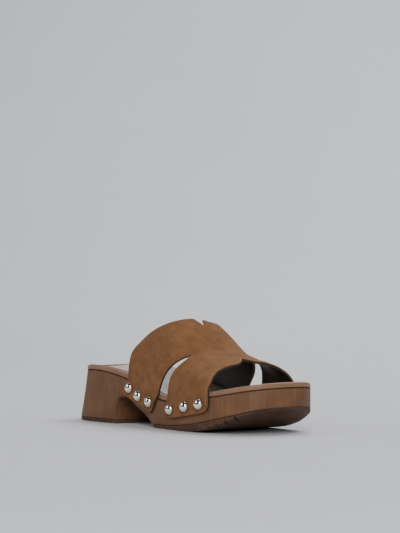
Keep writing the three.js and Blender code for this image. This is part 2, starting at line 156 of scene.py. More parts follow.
paper_front = -2.6
paper_top = 3.2
half_width = 4.5
sweep_start = 1.1
sweep_radius = 0.9
sweep_steps = 16
profile = [(paper_front, 0), (sweep_start, 0)]
for step in range(1, sweep_steps + 1):
    angle = math.radians(90) * step / sweep_steps
    profile.append(
        (sweep_start + sweep_radius * math.sin(angle), sweep_radius * (1 - math.cos(angle)))
    )
profile.append((sweep_start + sweep_radius, paper_top))
backdrop_mesh = bpy.data.meshes.new("backdrop")
backdrop_mesh.from_pydata(
    [tuple(sight * run + across * side + Vector((0, 0, rise)))
     for run, rise in profile for side in (-half_width, half_width)],
    [],
    [(2 * i, 2 * i + 1, 2 * i + 3, 2 * i + 2) for i in range(len(profile) - 1)],
)
backdrop_mesh.polygons.foreach_set("use_smooth", [True] * len(backdrop_mesh.polygons))
backdrop = bpy.data.objects.new("backdrop", backdrop_mesh)
backdrop.data.materials.append(mottled_material(
    "pale_paper", (0.6, 0.612, 0.64), (0.64, 0.652, 0.68), (0.7, 0.85),
    cloud=2.2, grain=700, share=0.15, bump=0.05,
))
bpy.context.scene.collection.objects.link(backdrop)


# Studio light
# Large soft boxes in a dim room: a tall one above the camera whose streak the studs show, one
# high behind the toe, a low fill off the heel, and one behind that lights the paper.
def soft_box(name, place, target, size, power):
    """A soft white rectangle of light, its sides in metres and its power in watts."""
    light = bpy.data.lights.new(name, "AREA")
    light.shape = "RECTANGLE"
    light.size, light.size_y = size
    light.energy = power
    lamp = bpy.data.objects.new(name, light)
    lamp.location = place
    lamp.rotation_euler = (Vector(target) - Vector(place)).to_track_quat("-Z", "Y").to_euler()
    bpy.context.scene.collection.objects.link(lamp)


shoe_middle = (0, 0, 0.05)
soft_box("key_box", (1.65, -1.2, 1.05), shoe_middle, (0.75, 1.5), 36)
soft_box("toe_box", (0.75, 0.8, 1.75), shoe_middle, (0.8, 0.8), 8)
soft_box("heel_box", (-1.1, -1.5, 0.95), shoe_middle, (0.9, 0.9), 9)
soft_box("paper_box", (-0.7, 1.6, 2.2), (-0.9, 1.7, 0), (2.4, 2.4), 78)
room = bpy.data.worlds.new("room")
room.use_nodes = True
dim_air = room.node_tree.nodes["Background"]
dim_air.inputs["Color"].default_value = (0.8, 0.82, 0.85, 1)
dim_air.inputs["Strength"].default_value = 0.05
bpy.context.scene.world = room

# Sole unit
# A thick moulded platform with a low block heel, stained to look like wood. Its sections
# follow the foot: the rim falls from the heel to the ball and rises to the toe, the waist is
# open below, and the heel block flares out to the floor.
insole_low, insole_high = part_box("insole")
length = insole_high[0] - insole_low[0]
middle_x = (insole_high[0] + insole_low[0]) / 2
ball_width = 84 * mm
heel_seat = 44.5 * mm
toe_spring = 18.5 * mm
spring_start = 12 * mm
spring_power = 1.85
toe_tip_y = 11 * mm
tread_thickness = 3.2 * mm
tread_start = 40 * mm
tread_power = 2.2
insole_thickness = 4.5 * mm
heel_front = -58.2 * mm
heel_flare_back = 8 * mm
heel_flare_side = 1.8 * mm
flare_ahead = 6 * mm
flare_behind = 14 * mm
flare_power = 1.2
forefoot_rear = 0.5 * mm
arch_top = 22.9 * mm
arch_top_x = -47.4 * mm
arch_bulge = 3.5 * mm
edge_round = 0.9 * mm
bottom_round = edge_round * 0.6
sole_table = {
    "at": [-0.50, -0.38, -0.24, -0.10, 0.04, 0.18, 0.32, 0.50],
    "outer": [0.352, 0.362, 0.369, 0.393, 0.443, 0.488, 0.479, 0.464],
    "inner": [0.358, 0.367, 0.371, 0.396, 0.450, 0.501, 0.508, 0.488],
    "rim": [1.024, 1.072, 1.002, 0.845, 0.620, 0.638, 0.733, 0.911],
}
toe_outer = {"reach": 0.256, "fullness": 2.8}
toe_inner = {"reach": 0.144, "fullness": 2.05}
heel_round = {"reach": 0.14, "fullness": 2.2}


def curve(keys, values, place):
    """A smooth curve through a table's rows."""
    keys = np.array(keys, float)
    values = np.array(values, float)
    place = np.asarray(place, float)
    spans = np.diff(keys)
    slopes = np.diff(values) / spans
    tangents = np.empty_like(keys)
    tangents[0] = slopes[0]
    tangents[-1] = slopes[-1]
    tangents[1:-1] = (slopes[:-1] * spans[1:] + slopes[1:] * spans[:-1]) / (spans[:-1] + spans[1:])
    row = np.clip(np.searchsorted(keys, place, side="left") - 1, 0, len(keys) - 2)
    span = spans[row]
    t = (place - keys[row]) / span
    t2 = t * t
    t3 = t2 * t
    return (
        (2 * t3 - 3 * t2 + 1) * values[row]
        + (t3 - 2 * t2 + t) * span * tangents[row]
        + (3 * t2 - 2 * t3) * values[row + 1]
        + (t3 - t2) * span * tangents[row + 1]
    )


def smooth_step(value, low, high):
    t = np.clip((np.asarray(value, float) - low) / (high - low), 0, 1)
    return t * t * (3 - 2 * t)


def rounded_end(distance, reach, fullness):
    left = 1 - np.clip(distance / (reach * length), 0, 1)
    return np.maximum(1 - left ** fullness, 0) ** (1 / fullness)


def edge_y(x, side):
    """Edge of the sole in plan, before it is set into the frame."""
    column = "outer" if side < 0 else "inner"
    full = side * ball_width * curve(sole_table["at"], sole_table[column], x / length)
    toe = rounded_end(length / 2 - x, **(toe_outer if side < 0 else toe_inner))
    y = toe_tip_y + (full - toe_tip_y) * toe
    return y * rounded_end(x + length / 2, **heel_round)


def rim_z(x):
    return heel_seat * curve(sole_table["at"], sole_table["rim"], x / length)


def sole_top_z(x):
    return rim_z(x) - insole_thickness


def spring_z(x, start, power):
    share = np.clip((x - start) / (length / 2 - start), 0, 1)
    return toe_spring * share ** power


def ground_z(x):
    return spring_z(x, tread_start, tread_power)


def sole_bottom_z(x):
    return spring_z(x, spring_start, spring_power) + tread_thickness


def end_stations(count):
    return -np.cos(np.linspace(0, math.pi, count + 1)) * length / 2


# The insole's inner edge is widest at one of these stations
plan_stations = end_stations(44)
middle_y = insole_high[1] - float(edge_y(plan_stations, 1).max())
frame_middle = np.array([middle_x, middle_y, 0])


def level(xs, heights, inset=0, down=0):
    """The sole's outer and inner edge at each station, drawn in and flared at the heel."""
    reach = 0.05 * mm
    edges = []
    for side in (-1, 1):
        low = np.maximum(xs - reach, -length / 2)
        high = np.minimum(xs + reach, length / 2)
        along = np.stack([high - low, edge_y(high, side) - edge_y(low, side)], -1)
        along /= np.linalg.norm(along, axis=1, keepdims=True)
        inward = np.stack([along[:, 1], -along[:, 0]], -1) * side
        ends = np.abs(xs) > length / 2 - reach
        inward[ends] = np.stack([-np.sign(xs[ends]), np.zeros(ends.sum())], -1)
        back = smooth_step(-xs, -heel_front, length / 2) * down
        sides = smooth_step(-xs, -heel_front - flare_ahead, flare_behind - heel_front) * down
        width = ball_width * curve(sole_table["at"], sole_table["outer"], xs / length)
        x = xs - heel_flare_back * back + inward[:, 0] * inset
        y = edge_y(xs, side) * (1 + heel_flare_side * sides / width) + inward[:, 1] * inset
        z = heights + np.zeros_like(xs)
        edges.append(np.stack([x, y, z], -1) + frame_middle)
    return edges


def plate(levels, strips, bottom_fill=None, top_fill=None):
    """Points and faces of a closed solid between its first level and its last."""
    points = []
    faces = []
    last = len(levels[0][0]) - 1

    def add(point):
        points.append(point)
        return len(points) - 1

    def rows_of(edges, fill):
        rows = []
        for i in range(last + 1):
            row = []
            for k in range(strips + 1):
                share = k / strips
                point = edges[0][i] * (1 - share) + edges[1][i] * share
                if fill is not None and 0 < k < strips and 0 < i < last:
                    point[2] = fill(point)
                row.append(add(point))
            rows.append(row)
        return rows

    loops = []
    for index, edges in enumerate(levels):
        lowest = index == 0
        highest = index == len(levels) - 1
        rows = rows_of(edges, bottom_fill if lowest else top_fill if highest else None)
        if lowest or highest:
            for i in range(last):
                for k in range(strips):
                    face = [rows[i][k], rows[i][k + 1], rows[i + 1][k + 1], rows[i + 1][k]]
                    faces.append(face if lowest else face[::-1])
        outer = [row[0] for row in rows]
        inner = [row[-1] for row in rows][::-1]
        loops.append(outer + rows[-1][1:-1] + inner + rows[0][1:-1][::-1])
    for low, high in zip(loops, loops[1:]):
        for i in range(len(low)):
            following = (i + 1) % len(low)
            faces.append([low[i], low[following], high[following], high[i]])
    return points, faces


def new_piece(name, points, faces, materials, sharp_angle=35, marks=None):
    """A smooth-shaded mesh piece with coinciding points joined, riding on the shoe."""
    mesh = bpy.data.meshes.new(name)
    mesh.from_pydata([tuple(point) for point in points], [], faces)
    if marks is not None:
        mesh.polygons.foreach_set("material_index", marks)
    shape = bmesh.new()
    shape.from_mesh(mesh)
    bmesh.ops.remove_doubles(shape, verts=shape.verts, dist=1e-6)
    bmesh.ops.dissolve_degenerate(shape, edges=shape.edges, dist=1e-7)
    loose = [vert for vert in shape.verts if not vert.link_faces]
    bmesh.ops.delete(shape, geom=loose, context="VERTS")
    bmesh.ops.recalc_face_normals(shape, faces=shape.faces)
    for face in shape.faces:
        face.smooth = True
    for edge in shape.edges:
        edge.smooth = edge.calc_face_angle(0) < math.radians(sharp_angle)
    shape.to_mesh(mesh)
    shape.free()
    piece = bpy.data.objects.new(name, mesh)
    bpy.context.scene.collection.objects.link(piece)
    for material in materials:
        piece.data.materials.append(material)
    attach(piece, "root")
    return piece


wood_look = mottled_material(
    "wood_look", (0.105, 0.05, 0.024), (0.22, 0.108, 0.054), (0.5, 0.66),
    cloud=48, grain=420, share=0.5, bump=0.25, stretch=(1, 1, 0.05), bump_depth=0.12,
    plain={"Specular IOR Level": 0.25},
)

xs = end_stations(150)
round_steps = [(math.sin(a), 1 - math.cos(a)) for a in np.linspace(0, math.pi / 2, 4)]
sole_levels = []
for rise, draw in round_steps[::-1]:
    sole_levels.append(
        level(xs, sole_bottom_z(xs) + bottom_round * (1 - rise), bottom_round * draw, 1))
for share in (0.2, 0.4, 0.6, 0.8):
    heights = sole_bottom_z(xs) * (1 - share) + sole_top_z(xs) * share
    sole_levels.append(level(xs, heights, 0, (1 - share) ** flare_power))
for rise, draw in round_steps:
    sole_levels.append(level(xs, sole_top_z(xs) - edge_round * (1 - rise), edge_round * draw, 0))
points, faces = plate(sole_levels, strips=6)
sole = new_piece("sole_unit", points, faces, [wood_look])


def bezier(start, lead, trail, end, count=12):
    """Points of one curved stretch, without its first."""
    t = np.linspace(0, 1, count + 1)[1:, None]
    start, lead, trail, end = (np.array(p, float) for p in (start, lead, trail, end))
    return ((1 - t) ** 3 * start + 3 * t * (1 - t) ** 2 * lead
            + 3 * t ** 2 * (1 - t) * trail + t ** 3 * end)


# The open space under the waist from the side: up the heel's front, over the top and down to
# the forefoot. Each stretch has its two leads between its ends.
below = -4 * mm
top = (arch_top_x, arch_top)
slope = (arch_top_x + 31 * mm, arch_top * 0.48)
arch_line = np.vstack([
    [(heel_front, below), (heel_front, 0)],
    bezier((heel_front, 0), (heel_front - arch_bulge, arch_top * 0.4),
           (heel_front - arch_bulge, arch_top), top),
    bezier(top, (arch_top_x + 9 * mm, arch_top), (arch_top_x + 18 * mm, arch_top * 0.68), slope),
    bezier(slope, (forefoot_rear - 11 * mm, arch_top * 0.36),
           (forefoot_rear - 4.5 * mm, arch_top * 0.22), (forefoot_rear, 0)),
    [(forefoot_rear, below)],
])
count = len(arch_line)
cutter_mesh = bpy.data.meshes.new("arch_space")
cutter_mesh.from_pydata(
    [(x + middle_x, side * ball_width, z) for side in (-1, 1) for x, z in arch_line],
    [],
    [list(range(count))[::-1], list(range(count, 2 * count))]
    + [[i, (i + 1) % count, count + (i + 1) % count, count + i] for i in range(count)],
)
cutter = bpy.data.objects.new("arch_space", cutter_mesh)
bpy.context.scene.collection.objects.link(cutter)


def apply_modifiers(piece):
    """Keeps the shape that the piece's modifiers give and drops the modifiers."""
    bpy.context.view_layer.update()
    shape = bpy.data.meshes.new_from_object(
        piece.evaluated_get(bpy.context.evaluated_depsgraph_get()))
    old = piece.data
    piece.modifiers.clear()
    piece.data = shape
    bpy.data.meshes.remove(old)


cut = sole.modifiers.new("arch", "BOOLEAN")
cut.operation = "DIFFERENCE"
cut.solver = "EXACT"
cut.object = cutter
apply_modifiers(sole)
bpy.data.objects.remove(cutter)
sole.data.name = "sole_unit"
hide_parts("sole")

# Treads
# Thin brown rubber layers under heel and forefoot, cemented on. Cross grooves run from edge to
# edge; under the toe a border slopes up to the edge and fine ribs fill the middle.
groove_depth = 1.7 * mm
groove_width = 2.2 * mm
groove_slope = 0.5 * mm
groove_margin = 3 * mm
groove_end = 106 * mm
groove_clear = groove_width * 0.6
heel_grooves = {"pitch": 6.2 * mm, "first": 8.6 * mm - length / 2, "last": heel_front - groove_margin}
forefoot_grooves = {"pitch": 8.6 * mm, "first": forefoot_rear + 7.3 * mm, "last": groove_end}
border_width = 9 * mm
border_rise = 3 * mm
border_reach = (60 * mm, 115 * mm)
rib_pitch = 2.1 * mm
rib_depth = 0.8 * mm
rib_reach = (98 * mm, 117 * mm)
tread_soft = 0.5 * mm
tread_top_round = 0.4 * mm
# The lower edge's four lines: share of the border's rise and of its width, then shares of the
# softening, inward and up
tread_edge = [(0, 1, 0.7, 0), (0.08, 0.8, 0.5, 0.1), (0.3, 0.4, 0.3, 0.3), (1, 0, 0, 1)]
seam_gap = 0.3 * mm

tread_rubber = mottled_material(
    "tread_rubber", (0.06, 0.032, 0.019), (0.11, 0.06, 0.037), (0.6, 0.8),
    cloud=70, grain=1400, share=0.4, bump=0.3, plain={"Specular IOR Level": 0.25},
)


def tread_piece(name, start, end, grooves, node):
    """A tread with its cross grooves between two places along the sole."""
    marks = []
    x = grooves["first"]
    while x + groove_width <= grooves["last"]:
        deep = groove_depth + border_rise * float(smooth_step(x, *border_reach))
        marks += [(x, 0), (x + groove_slope, deep),
                  (x + groove_width - groove_slope, deep), (x + groove_width, 0)]
        x += grooves["pitch"]
    fine = [x for x in np.arange(groove_end, length / 2, rib_pitch / 4) if start < x < end]
    plain = [
        (s, 0) for s in np.concatenate([end_stations(130), fine])
        if start < s < end and all(abs(s - mark) > groove_clear for mark, _ in marks)
    ]
    line = sorted(marks + plain + [(start, 0), (end, 0)])
    stations = np.array([s for s, _ in line])
    depths = np.array([d for _, d in line])
    border = smooth_step(stations, *border_reach)
    top = sole_bottom_z(stations) - seam_gap

    def low(share, rise):
        return ground_z(stations) + np.maximum(depths, share * border_rise * border) + rise

    def ribbed(point):
        x = point[0] - middle_x
        wave = 0.5 - 0.5 * math.cos(2 * math.pi * (x - rib_reach[0]) / rib_pitch)
        return point[2] + rib_depth * wave * (rib_reach[0] < x < rib_reach[1])

    levels = []
    for fall, left, draw, rise in tread_edge:
        inset = border_width * left * border + tread_soft * draw
        levels.append(level(stations, low(fall, tread_soft * rise), inset, 1))
    levels.append(level(stations, top - tread_top_round, 0, 1))
    levels.append(level(stations, top, tread_top_round, 1))
    points, faces = plate(levels, strips=12, bottom_fill=ribbed)
    piece = new_piece(name, points, faces, [tread_rubber])
    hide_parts(node)


tread_piece("heel_tread", -length / 2, heel_front, heel_grooves, "outsole_heel")
tread_piece("forefoot_tread", forefoot_rear, length / 2, forefoot_grooves, "outsole_forefoot")

# Insole
# A padded board wrapped in smooth pink-brown leather, its edge rolled round and its top dished
# for the heel. A polished sock is glued on inside the wrap, and a dark row of stitches closes
# the seam between the wrap and the sole.
insole_edge = 1.6 * mm
insole_under_edge = insole_edge * 0.7
heel_dish = 2.6 * mm
front_dish_share = 0.55
dish_reach = (20 * mm, 90 * mm)
dish_fullness = 3
arch_lift = 1.6 * mm
arch_lift_x = -25 * mm
arch_lift_length = 34 * mm
arch_lift_reach = (0.5, 0.95)
arch_lift_edge = 12
sock_inset = 5.4 * mm
sock_rise = 0.6 * mm
sock_round = sock_rise * 0.5
sock_sink = 0.4 * mm
seam_pitch = 2.1 * mm
seam_stitch = (0.66 * mm, 0.36 * mm, 0.3 * mm)
seam_inset = 0.1 * mm

insole_leather = mottled_material(
    "insole_leather", (0.2, 0.1, 0.058), (0.32, 0.17, 0.104), (0.42, 0.56),
    cloud=60, grain=900, share=0.3, bump=0.25, bump_depth=0.08,
    plain={"Specular IOR Level": 0.35},
)
sock_leather = mottled_material(
    "sock_leather", (0.2, 0.13, 0.1), (0.3, 0.205, 0.165), (0.2, 0.34),
    cloud=45, grain=1100, share=0.25, bump=0.2, bump_depth=0.06,
    plain={"Coat Weight": 0.35, "Coat Roughness": 0.2},
)
seam_thread = mottled_material(
    "seam_thread", (0.012, 0.007, 0.005), (0.03, 0.017, 0.011), (0.7, 0.9),
    cloud=300, grain=2500, share=0.5, bump=0.2,
)


def footbed_z(place):
    """Height of the dished top under places in the frame."""
    x = place[..., 0] - middle_x
    outer = edge_y(x, -1) + insole_edge
    inner = edge_y(x, 1) - insole_edge
    width = np.maximum(inner - outer, mm)
    share = np.clip((place[..., 1] - middle_y - outer) / width, 0, 1)
    middle = 1 - np.abs(share * 2 - 1) ** dish_fullness
    to_heel = smooth_step(-x, *dish_reach)
    dish = heel_dish * (front_dish_share + (1 - front_dish_share) * to_heel)
    along = np.exp(-((x - arch_lift_x) / arch_lift_length) ** 2)
    arch = along * smooth_step(share, *arch_lift_reach)
    return rim_z(x) - dish * middle + arch_lift * arch * (1 - share ** arch_lift_edge)


def stitch_row(name, line, normals, pitch, size, material):
    """Small rounded stitches set end to end along a line that lies on a surface."""
    rings = 5
    sides = 8
    cap = 0.08
    tip_ahead = pitch * 0.4
    steps = np.linalg.norm(np.diff(line, axis=0), axis=1)
    run = np.concatenate([[0], np.cumsum(steps)])
    spots = np.arange(pitch, run[-1] - pitch, pitch)
    centres = np.stack([np.interp(spots, run, line[:, k]) for k in range(3)], -1)
    ups = np.stack([np.interp(spots, run, normals[:, k]) for k in range(3)], -1)
    ahead = np.stack([np.interp(spots + tip_ahead, run, line[:, k]) for k in range(3)], -1)
    points = []
    faces = []
    for centre, up, tip in zip(centres, ups, ahead):
        along = (tip - centre) / np.linalg.norm(tip - centre)
        aside = np.cross(up, along)
        aside /= np.linalg.norm(aside)
        up = np.cross(along, aside)
        base = len(points)
        for r in range(rings + 1):
            turn = math.pi * (cap + (1 - 2 * cap) * r / rings)
            for k in range(sides):
                angle = 2 * math.pi * k / sides
                points.append(centre - along * size[0] * math.cos(turn)
                              + aside * size[1] * math.sin(turn) * math.cos(angle)
                              + up * size[2] * math.sin(turn) * math.sin(angle))
        for r in range(rings):
            for k in range(sides):
                a = base + r * sides + k
                b = base + r * sides + (k + 1) % sides
                faces.append([a, b, b + sides, a + sides])
        faces.append([base + k for k in range(sides)][::-1])
        faces.append([base + rings * sides + k for k in range(sides)])
    piece = new_piece(name, points, faces, [material], sharp_angle=80)


xs = end_stations(130)
insole_levels = []
under = sole_top_z(xs) + seam_gap
for rise, draw in round_steps[::-1]:
    insole_levels.append(
        level(xs, under + insole_under_edge * (1 - rise), insole_under_edge * draw))
for rise, draw in round_steps:
    insole_levels.append(level(xs, rim_z(xs) - insole_edge * (1 - rise), insole_edge * draw))
points, faces = plate(insole_levels, strips=24, top_fill=lambda point: float(footbed_z(point)))
insole = new_piece("insole_board", points, faces, [insole_leather])
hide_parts("insole")


def sock_level(inset, rise):
    """The sock's edges at one height off the dished top."""
    edges = level(xs, 0, inset)
    for edge in edges:
        edge[:, 2] = footbed_z(edge) + rise
    return edges


sock_levels = [sock_level(sock_inset, -sock_sink), sock_level(sock_inset, sock_round)]
for rise, draw in round_steps[1:]:
    sock_levels.append(sock_level(sock_inset + sock_round * draw, sock_round * (1 + rise)))
points, faces = plate(
    sock_levels, strips=24,
    bottom_fill=lambda point: float(footbed_z(point)) - sock_sink,
    top_fill=lambda point: float(footbed_z(point)) + sock_rise,
)
sock = new_piece("sock", points, faces, [sock_leather])

xs = end_stations(300)
seam_edges = level(xs, sole_top_z(xs) - seam_inset, seam_inset)
seam_line = np.vstack([seam_edges[0], seam_edges[1][::-1]])
seam_out = np.gradient(seam_line, axis=0)
seam_out = np.stack([seam_out[:, 1], -seam_out[:, 0], 0 * seam_out[:, 0]], -1)
seam_out /= np.maximum(np.linalg.norm(seam_out, axis=1, keepdims=True), 1e-9)
stitch_row("seam_stitches", seam_line, seam_out, seam_pitch, seam_stitch, seam_thread)

# Upper
# One band of tan-brown suede over a smooth dark lining, cut like an H: a curved slot parts the
# rear strap's legs from the front's, and a small V opens the middle of both edges. The legs are
# nailed to the sole's sides, and tan stitches run along the front edge.
suede_wall = 1.45 * mm
lining_wall = 0.75 * mm
full_wall = suede_wall + lining_wall
suede_soft = 0.4 * mm
lining_soft = 0.1 * mm
lining_gap = 0.02 * mm
lining_inset = 0.25 * mm
instep_height = 92.3 * mm
crown_y = 5.7 * mm
side_roundness = 1.72
top_roundness = 2.27
rim_girth = 0.72
rear_notch = {"place": -0.086, "depth": 9 * mm, "half_width": 0.036, "power": 0.85}
front_notch = {"place": -0.055, "depth": 12 * mm, "half_width": 0.15, "power": 1.7}
outer_slot_tip = -0.335
inner_slot_tip = 0.28
tip_margin = 1e-9
crown_table = {
    "at": [-0.24, -0.12, 0.00, 0.08, 0.16, 0.24, 0.32, 0.40],
    "height": [1.195, 1.098, 1.000, 0.878, 0.694, 0.613, 0.564, 0.531],
}
leg_edge_table = {
    "at": [-0.24, -0.20, -0.10, -0.01, 0.10, 0.20, 0.29, 0.36],
    "height": [0.663, 0.588, 0.414, 0.275, 0.218, 0.273, 0.355, 0.434],
}
outer_cuts = {
    "girth": [-1, -0.95, -0.87, -0.78, -0.7, -0.6, -0.5, -0.42, -0.335, -0.235, -0.13, 0],
    "rear": [-0.190, -0.187, -0.175, -0.156, -0.151, -0.139, -0.097, -0.066, -0.030, 0.007,
             0.036, 0.068],
    "slot_rear": [-0.008, 0.003, 0.013, 0.032, 0.050, 0.077, 0.106, 0.126, 0.142, 0.153,
                  0.165, 0.179],
    "slot_front": [0.100, 0.094, 0.097, 0.102, 0.108, 0.114, 0.128, 0.139, 0.142, 0.153,
                   0.165, 0.179],
    "front": [0.303, 0.316, 0.319, 0.319, 0.320, 0.323, 0.314, 0.306, 0.305, 0.306,
              0.312, 0.318],
}
inner_cuts = {
    "girth": [0, 0.13, 0.28, 0.36, 0.43, 0.5, 0.6, 0.7, 0.78, 0.87, 0.95, 1],
    "rear": [0.068, 0.066, 0.036, 0.012, -0.012, -0.042, -0.090, -0.108, -0.112, -0.136,
             -0.154, -0.160],
    "slot_rear": [0.179, 0.193, 0.210, 0.181, 0.164, 0.151, 0.130, 0.100, 0.076, 0.056,
                  0.044, 0.034],
    "slot_front": [0.179, 0.193, 0.210, 0.206, 0.196, 0.186, 0.172, 0.163, 0.157, 0.151,
                   0.148, 0.154],
    "front": [0.318, 0.315, 0.314, 0.314, 0.314, 0.316, 0.320, 0.323, 0.324, 0.324,
              0.321, 0.309],
}
stud_row_girth = 0.9
stud_table = [
    ("rear", 0.21, 9.2 * mm), ("rear", 0.51, 7.6 * mm), ("rear", 0.89, 8.6 * mm),
    ("front", 0.14, 6.8 * mm), ("front", 0.51, 7.4 * mm), ("front", 0.83, 7.2 * mm),
]


def crown_z(x):
    return instep_height * curve(crown_table["at"], crown_table["height"], x / length)


def leg_edge_z(x):
    return heel_seat * curve(leg_edge_table["at"], leg_edge_table["height"], x / length)


def upper_inside(x, girth):
    """Inside of the upper at places along the sole and around the girth."""
    x, girth = np.broadcast_arrays(np.asarray(x, float), np.asarray(girth, float))
    side = np.where(girth < 0, -1, 1)
    share = np.abs(girth)
    wall = np.where(side < 0, edge_y(x, -1), edge_y(x, 1)) + side * seam_gap
    down = np.clip((share - rim_girth) / (1 - rim_girth), 0, None)
    angle = np.clip(1 - share / rim_girth, 0, 1) * math.pi / 2
    inward = np.maximum(np.cos(angle), 0) ** (2 / side_roundness)
    up = np.maximum(np.sin(angle), 0) ** (2 / top_roundness)
    y = np.where(share >= rim_girth, wall, crown_y + (wall - crown_y) * inward)
    arched = rim_z(x) + (crown_z(x) + seam_gap - rim_z(x)) * up
    z = np.where(share >= rim_girth, rim_z(x) + (leg_edge_z(x) - rim_z(x)) * down, arched)
    return np.stack([x, y, z], -1)


def upper_normal(x, girth):
    around_step = 0.02
    low = np.maximum(girth - around_step, -1)
    high = np.minimum(girth + around_step, 1)
    around = upper_inside(x, high) - upper_inside(x, low)
    along = upper_inside(x + mm, girth) - upper_inside(x - mm, girth)
    normal = np.cross(along, around)
    return normal / np.linalg.norm(normal, axis=-1, keepdims=True)


def upper_point(x, girth, out):
    """A point of the upper in the frame, at a distance out from its inside."""
    place = upper_inside(x, girth) + upper_normal(x, girth) * np.asarray(out)[..., None]
    return place + frame_middle


def notch_cut(girth, place, depth, half_width, power):
    share = np.minimum(np.abs(girth - place) / half_width, 1)
    return depth * (1 - share) ** power


def slot_open(girth):
    """Whether the slot is open at places around the girth."""
    return (girth < outer_slot_tip - tip_margin) | (girth > inner_slot_tip + tip_margin)


def cut_lines(girth):
    """The rear edge, the slot's two edges and the front edge at places around the girth."""
    girth = np.asarray(girth, float)

    def read(column):
        outer = curve(outer_cuts["girth"], outer_cuts[column], np.minimum(girth, 0))
        inner = curve(inner_cuts["girth"], inner_cuts[column], np.maximum(girth, 0))
        return length * np.where(girth < 0, outer, inner)

    is_open = slot_open(girth)
    slot_rear = read("slot_rear")
    slot_front = read("slot_front")
    middle = (slot_rear + slot_front) / 2
    return {
        "rear": read("rear") + notch_cut(girth, **rear_notch),
        "slot_rear": np.where(is_open, np.minimum(slot_rear, middle), middle),
        "slot_front": np.where(is_open, np.maximum(slot_front, middle), middle),
        "front": read("front") - notch_cut(girth, **front_notch),
    }


# Places around the girth that a row of the mesh meets, and closer rows where the notches are
notch_reach = (-0.21, 0.09)
notch_step = 0.006
plain_step = 0.0125
notch_marks = [
    round(notch["place"] + share * notch["half_width"], 3)
    for notch in (rear_notch, front_notch) for share in (-1, 0, 1)
]
girth_marks = sorted({
    -1, -0.95, -rim_girth, -0.5, outer_slot_tip, *notch_marks, inner_slot_tip, 0.5, rim_girth,
    0.95, 1,
})
girths = [-1.0]
for low, high in zip(girth_marks, girth_marks[1:]):
    step = notch_step if notch_reach[0] < low < notch_reach[1] else plain_step
    girths += list(np.linspace(low, high, max(1, math.ceil((high - low) / step)) + 1)[1:])
girths = np.array(girths)

# Where each stud goes, by side: its place on the leg and the way it faces
stud_seats = []
for side_name, side in (("outer", -1), ("inner", 1)):
    row = {key: float(value) for key, value in cut_lines(side * stud_row_girth).items()}
    for index, (leg, share, above) in enumerate(stud_table):
        low, high = ("rear", "slot_rear") if leg == "rear" else ("slot_front", "front")
        x = row[low] + (row[high] - row[low]) * share
        girth = side * (1 - above / float(rim_z(x) - leg_edge_z(x)) * (1 - rim_girth))
        name = f"{side_name}_{index + 1}"
        stud_seats.append((name, upper_point(x, girth, full_wall), upper_normal(x, girth)))

# Folds: stations as shares of the length with their girth, half width and lift
folds = [
    ([(0.142, -0.335), (0.160, -0.24), (0.168, -0.13)], 3.4 * mm, -0.55 * mm),
    ([(0.190, -0.42), (0.215, -0.30), (0.235, -0.18)], 5.0 * mm, 0.4 * mm),
    ([(0.250, -0.66), (0.262, -0.50), (0.272, -0.36)], 4.2 * mm, -0.45 * mm),
    ([(0.296, -0.40), (0.292, -0.26), (0.270, -0.12)], 3.2 * mm, 0.55 * mm),
    ([(-0.105, -0.72), (-0.045, -0.62), (0.020, -0.52)], 5.5 * mm, -0.5 * mm),
    ([(-0.030, -0.80), (0.010, -0.68), (0.055, -0.56)], 4.0 * mm, 0.35 * mm),
    ([(0.300, 0.10), (0.285, 0.22), (0.280, 0.34)], 3.6 * mm, 0.5 * mm),
    ([(0.245, 0.62), (0.255, 0.48), (0.262, 0.34)], 4.4 * mm, -0.5 * mm),
    ([(-0.080, 0.66), (-0.020, 0.56), (0.040, 0.46)], 5.0 * mm, -0.45 * mm),
]
fold_end = 0.12
girth_run = 118 * mm
dent_depth = 0.5 * mm
dent_radius = 6.2 * mm


def relief(x, girth, place):
    """How far the suede lies off its plain shape: folds, and a dent round each stud."""
    off = np.zeros_like(x)
    here = np.stack([x, girth * girth_run], -1)
    for marks, half_width, lift in folds:
        line = np.array([(a * length, g * girth_run) for a, g in marks])
        near = np.full(x.shape, 1.0)
        taper = np.zeros_like(x)
        for k in range(len(line) - 1):
            step = line[k + 1] - line[k]
            t = np.clip(((here - line[k]) @ step) / (step @ step), 0, 1)
            gap = np.linalg.norm(here - line[k] - t[..., None] * step, axis=-1)
            closer = gap < near
            near = np.where(closer, gap, near)
            taper = np.where(closer, (k + t) / (len(line) - 1), taper)
        fade = np.sin(math.pi * (fold_end + (1 - 2 * fold_end) * taper))
        off += lift * fade * np.exp(-(near / half_width) ** 2)
    for _, seat, _ in stud_seats:
        gap = np.linalg.norm(place - seat, axis=-1)
        off -= dent_depth * np.exp(-(gap / dent_radius) ** 4)
    return off


# Columns of the mesh across a strap, and its two closest to each edge
band_columns = 34
edge_share = 0.012
next_share = 0.04


